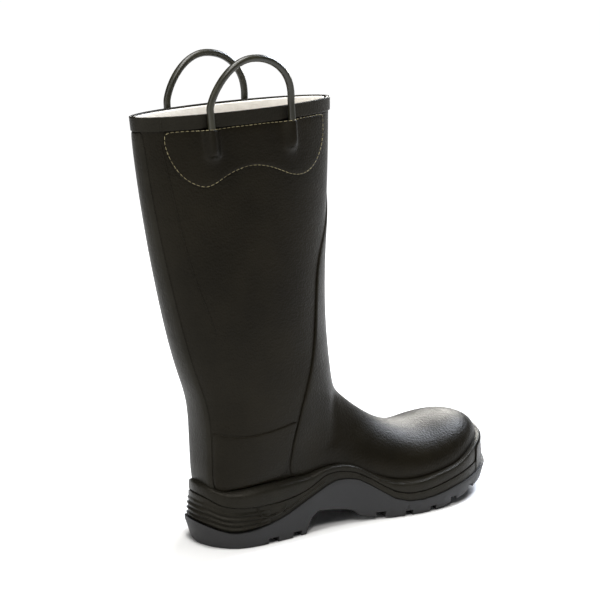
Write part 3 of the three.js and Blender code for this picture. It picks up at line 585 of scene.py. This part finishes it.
def loop_rubber(name, base):
    """Smooth extruded cord with faint lengthwise drawing marks."""
    finish = Finish(name, base, 0.34)
    cloud = finish.noise(18 * MM, 3, 0.5)
    drawn = finish.noise(0.7 * MM, 2, 0.5, finish.stretched((1, 1, 0.25)))
    finish.tinted(finish.ranged(cloud, 0.35, 0.7, 0, 1), (0.8, 0.8, 0.7), (1.5, 1.45, 1.1))
    finish.roughness(cloud, 0.28, 0.42)
    finish.raise_by(drawn, 0.05 * MM, 0.6)
    return finish.material


def felt(name, base):
    """Pressed felt faced with fine cotton: matted fibres over a knit."""
    finish = Finish(name, base, 0.95)
    fibre = finish.noise(0.5 * MM, 4, 0.7)
    matted = finish.noise(5 * MM, 3, 0.6)
    rib = finish.weave(1.3 * MM, "Z")
    finish.tinted(finish.ranged(matted, 0.35, 0.7, 0, 1), (0.93, 0.92, 0.9), (1.04, 1.04, 1.04))
    finish.raise_by(rib, 0.12 * MM, 0.35)
    finish.raise_by(fibre, 0.18 * MM, 0.6)
    finish.shader.inputs["Sheen Weight"].default_value = 0.25
    finish.shader.inputs["Sheen Roughness"].default_value = 0.6
    return finish.material


def thread(name, base):
    """Waxed cotton thread with a twist."""
    finish = Finish(name, base, 0.7)
    twist = finish.weave(0.5 * MM, "DIAGONAL")
    patchy = finish.noise(6 * MM, 3, 0.6)
    finish.tinted(finish.ranged(patchy, 0.35, 0.65, 0, 1), (0.45, 0.42, 0.36), (1.1, 1.1, 1.05))
    finish.raise_by(twist, 0.08 * MM, 0.8)
    return finish.material


def foam(name, base):
    """Closed-cell foam under a brushed textile face."""
    finish = Finish(name, base, 0.9)
    cells = finish.pebbles(0.8 * MM)
    nap = finish.noise(0.4 * MM, 3, 0.7)
    cloud = finish.noise(12 * MM, 3, 0.5)
    finish.tinted(finish.ranged(cloud, 0.35, 0.7, 0, 1), (0.8, 0.8, 0.82), (1.25, 1.25, 1.3))
    finish.raise_by(cells, 0.12 * MM, 0.5)
    finish.raise_by(nap, 0.08 * MM, 0.6)
    finish.shader.inputs["Sheen Weight"].default_value = 0.2
    return finish.material


def rolled_steel(name, base):
    """Cold-rolled steel with drawing marks and a light oil bloom."""
    finish = Finish(name, base, 0.32, 1.0)
    drawn = finish.noise(0.5 * MM, 3, 0.6, finish.stretched((0.06, 1, 1)))
    bloom = finish.noise(16 * MM, 4, 0.6)
    finish.tinted(finish.ranged(bloom, 0.35, 0.7, 0, 1), (0.82, 0.8, 0.78), (1.08, 1.08, 1.1))
    finish.roughness(bloom, 0.24, 0.42)
    finish.raise_by(drawn, 0.02 * MM, 0.5)
    return finish.material


def fibre_board(name, base):
    """Pressed fibre board with short dark fibres."""
    finish = Finish(name, base, 0.85)
    fibres = finish.noise(0.7 * MM, 4, 0.7, finish.stretched((0.35, 1, 1)))
    cloud = finish.noise(11 * MM, 3, 0.5)
    finish.tinted(finish.ranged(fibres, 0.35, 0.68, 0, 1), (0.6, 0.56, 0.5), (1.15, 1.12, 1.08))
    finish.roughness(cloud, 0.78, 0.92)
    finish.raise_by(fibres, 0.08 * MM, 0.6)
    return finish.material


def studio_floor(name, base):
    """Pale paper that glows away from the boot, so that it stays even to the horizon."""
    finish = Finish(name, base, 0.9)
    finish.shader.inputs["Specular IOR Level"].default_value = 0.1
    reach = finish.nodes.new("ShaderNodeVectorMath")
    reach.operation = "LENGTH"
    half_length, half_width = FLOOR_OVAL
    finish.links.new(finish.stretched((1 / half_length, 1 / half_width, 0)), reach.inputs[0])
    away = finish.ranged(reach.outputs["Value"], 0.9, 1.9, 0, 1)
    finish.tinted(away, (1, 1, 1), (0.35, 0.35, 0.35))
    finish.shader.inputs["Emission Color"].default_value = (1, 1, 1, 1)
    finish.links.new(finish.ranged(away, 0, 1, 0.0, 1.0), finish.shader.inputs["Emission Strength"])
    return finish.material


# ---------- Pieces ----------
class BootPiece:
    """What the operators share: they run anywhere and can be undone."""

    bl_options = {"REGISTER", "UNDO"}
    made = {}

    def done(self, **pieces):
        BootPiece.made.update(pieces)
        return {"FINISHED"}


def boot_skin():
    """The upper, for bedding overlays and lines on it."""
    return surface_of(BootPiece.made["upper"])


class BOOT_OT_upper(BootPiece, bpy.types.Operator):
    """Leg and foot as one moulded skin"""

    bl_idname = "boot.upper"
    bl_label = "Leg and Foot"

    def execute(self, context):
        upper = copy_of("moulded_upper", "leg_shell", "foot_shell")
        with Editing(upper):
            bpy.ops.mesh.select_all(action="SELECT")
            bpy.ops.mesh.remove_doubles(threshold=0.45 * MM)
            bpy.ops.mesh.select_all(action="DESELECT")
            bpy.ops.mesh.select_mode(type="FACE")
            bpy.ops.mesh.select_interior_faces()
            bpy.ops.mesh.delete(type="FACE")
        crease_sharp(upper, 60, 0.9)
        smooth_out(upper, 2)
        fold(upper)
        finished(upper, leg_rubber(), "boot", "leg_rubber", "leg_shell", "foot_shell")
        return self.done(upper=upper)


class BOOT_OT_overlays(BootPiece, bpy.types.Operator):
    """Shin and toe guard, backstay and heel covers"""

    bl_idname = "boot.overlays"
    bl_label = "Guard and Heel Trim"

    def execute(self, context):
        skin = boot_skin()
        size = sizes()
        rubber = leg_rubber()
        trim = trim_rubber()
        name = "shin_and_toe_guard"
        guard = overlay(name, "front_guard", skin, size.guard_step, 1.9 * MM, size.guard_roll)
        name = "heel_backstay"
        stay = overlay(name, "backstay", skin, size.stay_step, 1.7 * MM, size.stay_roll)
        fold(guard)
        finished(guard, rubber, "boot", "leg_rubber", "front_guard")
        finished(stay, trim, "boot", "trim_rubber", "backstay")
        for side in SIDES:
            node = f"heel_cover_{side}"
            name = f"heel_side_{side}"
            cover = overlay(name, node, skin, size.cover_step, 1.5 * MM, size.cover_roll)
            finished(cover, rubber, "boot", "leg_rubber", node)
        return self.done(guard=guard)


class BOOT_OT_patches(BootPiece, bpy.types.Operator):
    """Patches that hold the loop ends"""

    bl_idname = "boot.patches"
    bl_label = "Loop Patches"

    def execute(self, context):
        skin = boot_skin()
        size = sizes()
        rubber = leg_rubber()
        pieces = {}
        for side in SIDES:
            node = f"loop_patch_{side}"
            name = f"patch_over_loops_{side}"
            patch = overlay(name, node, skin, size.patch_step, 1.4 * MM, size.patch_roll)
            modify(patch, "SMOOTH", factor=0.5, iterations=7)
            pieces[node] = finished(patch, rubber, "boot", "leg_rubber", node)
        return self.done(**pieces)


class BOOT_OT_stitching(BootPiece, bpy.types.Operator):
    """Pale stitches around the loop patches"""

    bl_idname = "boot.stitching"
    bl_label = "Stitching"

    def execute(self, context):
        skin = boot_skin()
        size = sizes()
        material = thread("stitching thread", colours().thread)
        for side in SIDES:
            node = f"loop_patch_{side}"
            patch = surface_of(BootPiece.made[node])
            path = []
            for point in rounded(eased(border_of(node, skin))):
                nearest, normal = patch.find_nearest(point)[:2]
                path.append(nearest + normal * 0.1 * MM)
            stitches = dashes(path, size.stitch, size.stitch_gap)
            line = tube(f"patch_stitches_{side}", stitches, size.thread / 2, resolution=1)
            finished(line, material, "boot", "felt")
        return self.done()


class BOOT_OT_lines(BootPiece, bpy.types.Operator):
    """Calf seams, heel panels and the bead along the midsole"""

    bl_idname = "boot.lines"
    bl_label = "Seams and Beads"

    def execute(self, context):
        skin = boot_skin()
        rubber = leg_rubber()
        trim = trim_rubber()
        radius = sizes().seam / 2
        sole = surface_of(BootPiece.made["midsole"])
        sides = [sole, surface_of(BootPiece.made["heel"])]
        outsole = surface_of(BootPiece.made["outsole"])
        seams, panels, beads = [], [], []
        for side in SIDES.values():
            seams.append(refined(on_side([skin], side, CALF_SEAM), 3))
            panels.append(rounded(on_side(sides, side, LENS_PANEL), 3))
            beads.append(self.bead(sole, outsole, side))
        finished(tube("calf_seams", seams, radius * 1.1), rubber, "boot", "leg_rubber")
        finished(tube("heel_panel_rims", panels, radius * 2, cyclic=True), trim, "boot", "trim_rubber")
        finished(tube("midsole_beads", beads, radius * 2), trim, "boot", "trim_rubber")
        return self.done()

    def bead(self, sole, outsole, side):
        """A line on the midsole, a little above the outsole's upper edge."""
        line = []
        inwards = Vector((0, -side, 0))
        for i in range(BEAD_STEPS + 1):
            x = CAD_LOW.x + (BEAD_START + (BEAD_END - BEAD_START) * i / BEAD_STEPS) * MM
            wall = sole.ray_cast(Vector((x, side * SIDE_REACH, 40 * MM)), inwards)[0]
            if not wall:
                continue
            above = Vector((x, wall.y - side * 2 * MM, SIDE_REACH))
            edge = outsole.ray_cast(above, Vector((0, 0, -1)))[0]
            if not edge:
                continue
            beside = Vector((x, side * SIDE_REACH, edge.z + BEAD_RISE * MM))
            hit, normal = sole.ray_cast(beside, inwards)[:2]
            if hit and abs(normal.y) > 0.3:
                line.append(hit)
        return refined(line, 1)


class BOOT_OT_rim(BootPiece, bpy.types.Operator):
    """Binding band around the rim"""

    bl_idname = "boot.rim"
    bl_label = "Rim Band"

    def execute(self, context):
        trim = trim_rubber()
        band = copy_of("rim_binding", "rim_band")
        crease_sharp(band, 60, 0.7)
        smooth_out(band, 3)
        finished(band, trim, "boot", "trim_rubber", "rim_band")
        laps = [on_side([surface_of(band)], side, RIM_LAP) for side in SIDES.values()]
        finished(tube("rim_laps", laps, sizes().seam / 2), trim, "boot", "trim_rubber")
        return self.done(rim=band)


class BOOT_OT_loops(BootPiece, bpy.types.Operator):
    """Pull loops, each one cord from patch to patch"""

    bl_idname = "boot.loops"
    bl_label = "Pull Loops"

    def execute(self, context):
        material = loop_rubber("loop rubber", colours().loops)
        for side, sign in SIDES.items():
            low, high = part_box(f"pull_loop_{side}")
            radius = sizes().cord / 2
            joint = next(j for j in frame["joints"] if j["child"] == f"loop_{side}")
            middle = Vector(joint["pos_m"])
            half = (high.x - low.x) / 2 - radius
            rise = high.z - radius - middle.z
            lean = math.tan(math.radians(LOOP_LEAN)) * sign
            direction = Vector(joint["axis"]) * -sign
            ends = []
            for place, way in (("rear", -1), ("front", 1)):
                leg_low, leg_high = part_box(f"loop_leg_{side}_{place}")
                foot = middle + direction * half * way
                centre = (leg_low + leg_high) / 2
                low_end = centre + (centre - foot) * 0.62
                ends.append([low_end.lerp(foot, share) for share in (0, 0.2, 0.45, 0.7, 0.9)])
            arch = []
            for i in range(41):
                angle = math.pi * (1 - i / 40)
                fullness = LOOP_FULLNESS["front" if angle < math.pi / 2 else "rear"]
                up = rise * math.sin(angle) ** fullness
                arch.append(middle + direction * half * math.cos(angle) + Vector((0, lean * up, up)))
            path = ends[0] + arch + ends[1][::-1]
            cord = tube(f"loop_cord_{side}", [path], radius, resolution=5)
            nodes = [f"pull_loop_{side}"] + [f"loop_leg_{side}_{place}" for place in ("front", "rear")]
            finished(cord, material, None, "loop_rubber", *nodes)
            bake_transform(cord)
        return self.done()


class BOOT_OT_lining(BootPiece, bpy.types.Operator):
    """Felt lining of the leg and foot"""

    bl_idname = "boot.lining"
    bl_label = "Lining"

    def execute(self, context):
        lining = copy_of("felt_lining", "lining")
        crease_sharp(lining, 60, 0.8)
        smooth_out(lining, 2)
        finished(lining, felt("lining felt", colours().felt), "boot", "felt", "lining")
        return self.done()


class BOOT_OT_footbed(BootPiece, bpy.types.Operator):
    """Removable padded footbed"""

    bl_idname = "boot.footbed"
    bl_label = "Footbed"

    def execute(self, context):
        bed = copy_of("padded_footbed", "footbed")
        modify(bed, "REMESH", mode="VOXEL", voxel_size=1.6 * MM)
        modify(bed, "SMOOTH", factor=0.5, iterations=6)
        smooth_out(bed, 1)
        finished(bed, foam("footbed foam", (0.055, 0.055, 0.06)), "boot", "foam", "footbed")
        return self.done()


class BOOT_OT_sole(BootPiece, bpy.types.Operator):
    """Outsole, midsole and foxing strip"""

    bl_idname = "boot.sole"
    bl_label = "Sole"

    def execute(self, context):
        sole = tread_rubber("sole rubber", colours().sole)
        trim = trim_rubber()
        made = {}
        for node, name, rubber, width, angle in (
            ("outsole", "cleated_outsole", sole, 0.7, 35),
            ("midsole", "wave_midsole", trim, 0.6, 40),
        ):
            layer = copy_of(name, node)
            limits = {"limit_method": "ANGLE", "angle_limit": math.radians(angle)}
            modify(layer, "BEVEL", width=width * MM, segments=3, **limits)
            put(layer)
            bpy.ops.object.shade_smooth_by_angle(angle=math.radians(35))
            made[node] = finished(layer, rubber, "boot", "sole_rubber", node)
        foxing = copy_of("wave_foxing", "foxing_strip")
        bed_on(foxing, boot_skin(), 12 * MM, 0.4 * MM)
        crease_sharp(foxing, 65, 0.55)
        smooth_out(foxing, 2)
        finished(foxing, trim, "boot", "trim_rubber", "foxing_strip")
        for end in ("heel", "toe"):
            bumper = copy_of(f"ribbed_{end}", f"{end}_bumper")
            crease_sharp(bumper, 18, 0.85)
            smooth_out(bumper, 2)
            made[end] = finished(bumper, trim, "boot", "trim_rubber", f"{end}_bumper")
        return self.done(**made)


class BOOT_OT_inner(BootPiece, bpy.types.Operator):
    """Finishes of the pieces inside the boot"""

    bl_idname = "boot.inner"
    bl_label = "Inner Pieces"

    def execute(self, context):
        steel = rolled_steel("rolled steel", (0.56, 0.57, 0.58))
        board = fibre_board("fibre board", (0.36, 0.24, 0.13))
        block = foam("filler foam", (0.07, 0.07, 0.075))
        finishes = {
            "steel_toe_cap": steel, "steel_midsole_plate": steel, "ladder_shank": steel,
            "heel_stiffener": board, "insole_board": board, "heel_filler": block,
            "toe_cap_binding": trim_rubber(),
        }
        for name, material in finishes.items():
            node = frame["nodes"][name]
            node.data.materials.clear()
            node.data.materials.append(material)
        return self.done()


# ---------- Stage ----------
def area_light(name, place, target, size, power, tint):
    data = bpy.data.lights.new(name, "AREA")
    data.shape = "RECTANGLE"
    data.size, data.size_y = size
    data.energy = power
    data.color = tint
    light = bpy.data.objects.new(name, data)
    bpy.context.scene.collection.objects.link(light)
    light.location = place
    light.rotation_euler = (Vector(target) - Vector(place)).to_track_quat("-Z", "Y").to_euler()
    light.visible_camera = False
    return light


class BOOT_OT_stage(BootPiece, bpy.types.Operator):
    """Floor, lights and camera"""

    bl_idname = "boot.stage"
    bl_label = "Stage"

    def execute(self, context):
        scene = bpy.context.scene
        bpy.ops.object.select_all(action="DESELECT")
        ground = CAD_LOW.z - 0.2 * MM
        bpy.ops.mesh.primitive_plane_add(size=FLOOR_SIZE, location=(0, 0, ground))
        floor = bpy.context.view_layer.objects.active
        floor.name = "studio_floor"
        with Editing(floor):
            bpy.ops.mesh.select_all(action="SELECT")
            bpy.ops.mesh.subdivide(number_cuts=8)
        floor.data.materials.append(studio_floor("floor paper", colours().floor))

        world = scene.world or bpy.data.worlds.new("World")
        scene.world = world
        world.use_nodes = True
        background = world.node_tree.nodes["Background"]
        background.inputs["Color"].default_value = (0.95, 0.96, 1, 1)
        background.inputs["Strength"].default_value = ROOM_LIGHT
        for lamp in LAMPS:
            area_light(*lamp)

        around = math.radians(CAMERA_SIDE)
        back = Vector((-math.sin(around), -math.cos(around), 0))
        data = bpy.data.cameras.new("camera")
        data.sensor_width = CAMERA_SENSOR
        data.lens = CAMERA_LENS
        camera = bpy.data.objects.new("camera", data)
        scene.collection.objects.link(camera)
        camera.location = CAMERA_AIM + back * CAMERA_AWAY + Vector((0, 0, CAMERA_HEIGHT))
        dip, turn = math.radians(CAMERA_DIP), math.radians(CAMERA_TURN)
        camera.rotation_euler = Euler((math.pi / 2 - dip, 0, -turn))
        scene.camera = camera
        scene.view_settings.view_transform = "Standard"
        return self.done()


STEPS = (
    BOOT_OT_upper, BOOT_OT_overlays, BOOT_OT_patches, BOOT_OT_stitching, BOOT_OT_rim, BOOT_OT_loops,
    BOOT_OT_lining, BOOT_OT_footbed, BOOT_OT_sole, BOOT_OT_lines, BOOT_OT_inner, BOOT_OT_stage,
)


class BOOT_PT_panel(bpy.types.Panel):
    """Lists the boot's sizes, colours and steps"""

    bl_idname = "BOOT_PT_panel"
    bl_label = "Fire Boot"
    bl_space_type = "VIEW_3D"
    bl_region_type = "UI"
    bl_category = "Fire Boot"

    def draw(self, context):
        for group in (context.scene.boot_sizes, context.scene.boot_colours):
            column = self.layout.column(align=True)
            for key in type(group).__annotations__:
                column.prop(group, key)
        column = self.layout.column(align=True)
        for step in STEPS:
            column.operator(step.bl_idname)


CLASSES = (BootSizes, BootColours, *STEPS, BOOT_PT_panel)


def register():
    for item in CLASSES:
        bpy.utils.register_class(item)
    bpy.types.Scene.boot_sizes = bpy.props.PointerProperty(type=BootSizes)
    bpy.types.Scene.boot_colours = bpy.props.PointerProperty(type=BootColours)


def unregister():
    del bpy.types.Scene.boot_colours
    del bpy.types.Scene.boot_sizes
    for item in reversed(CLASSES):
        bpy.utils.unregister_class(item)


def main():
    register()
    for step in STEPS:
        getattr(bpy.ops.boot, step.bl_idname.split(".")[1])()


if __name__ == "__main__":
    main()
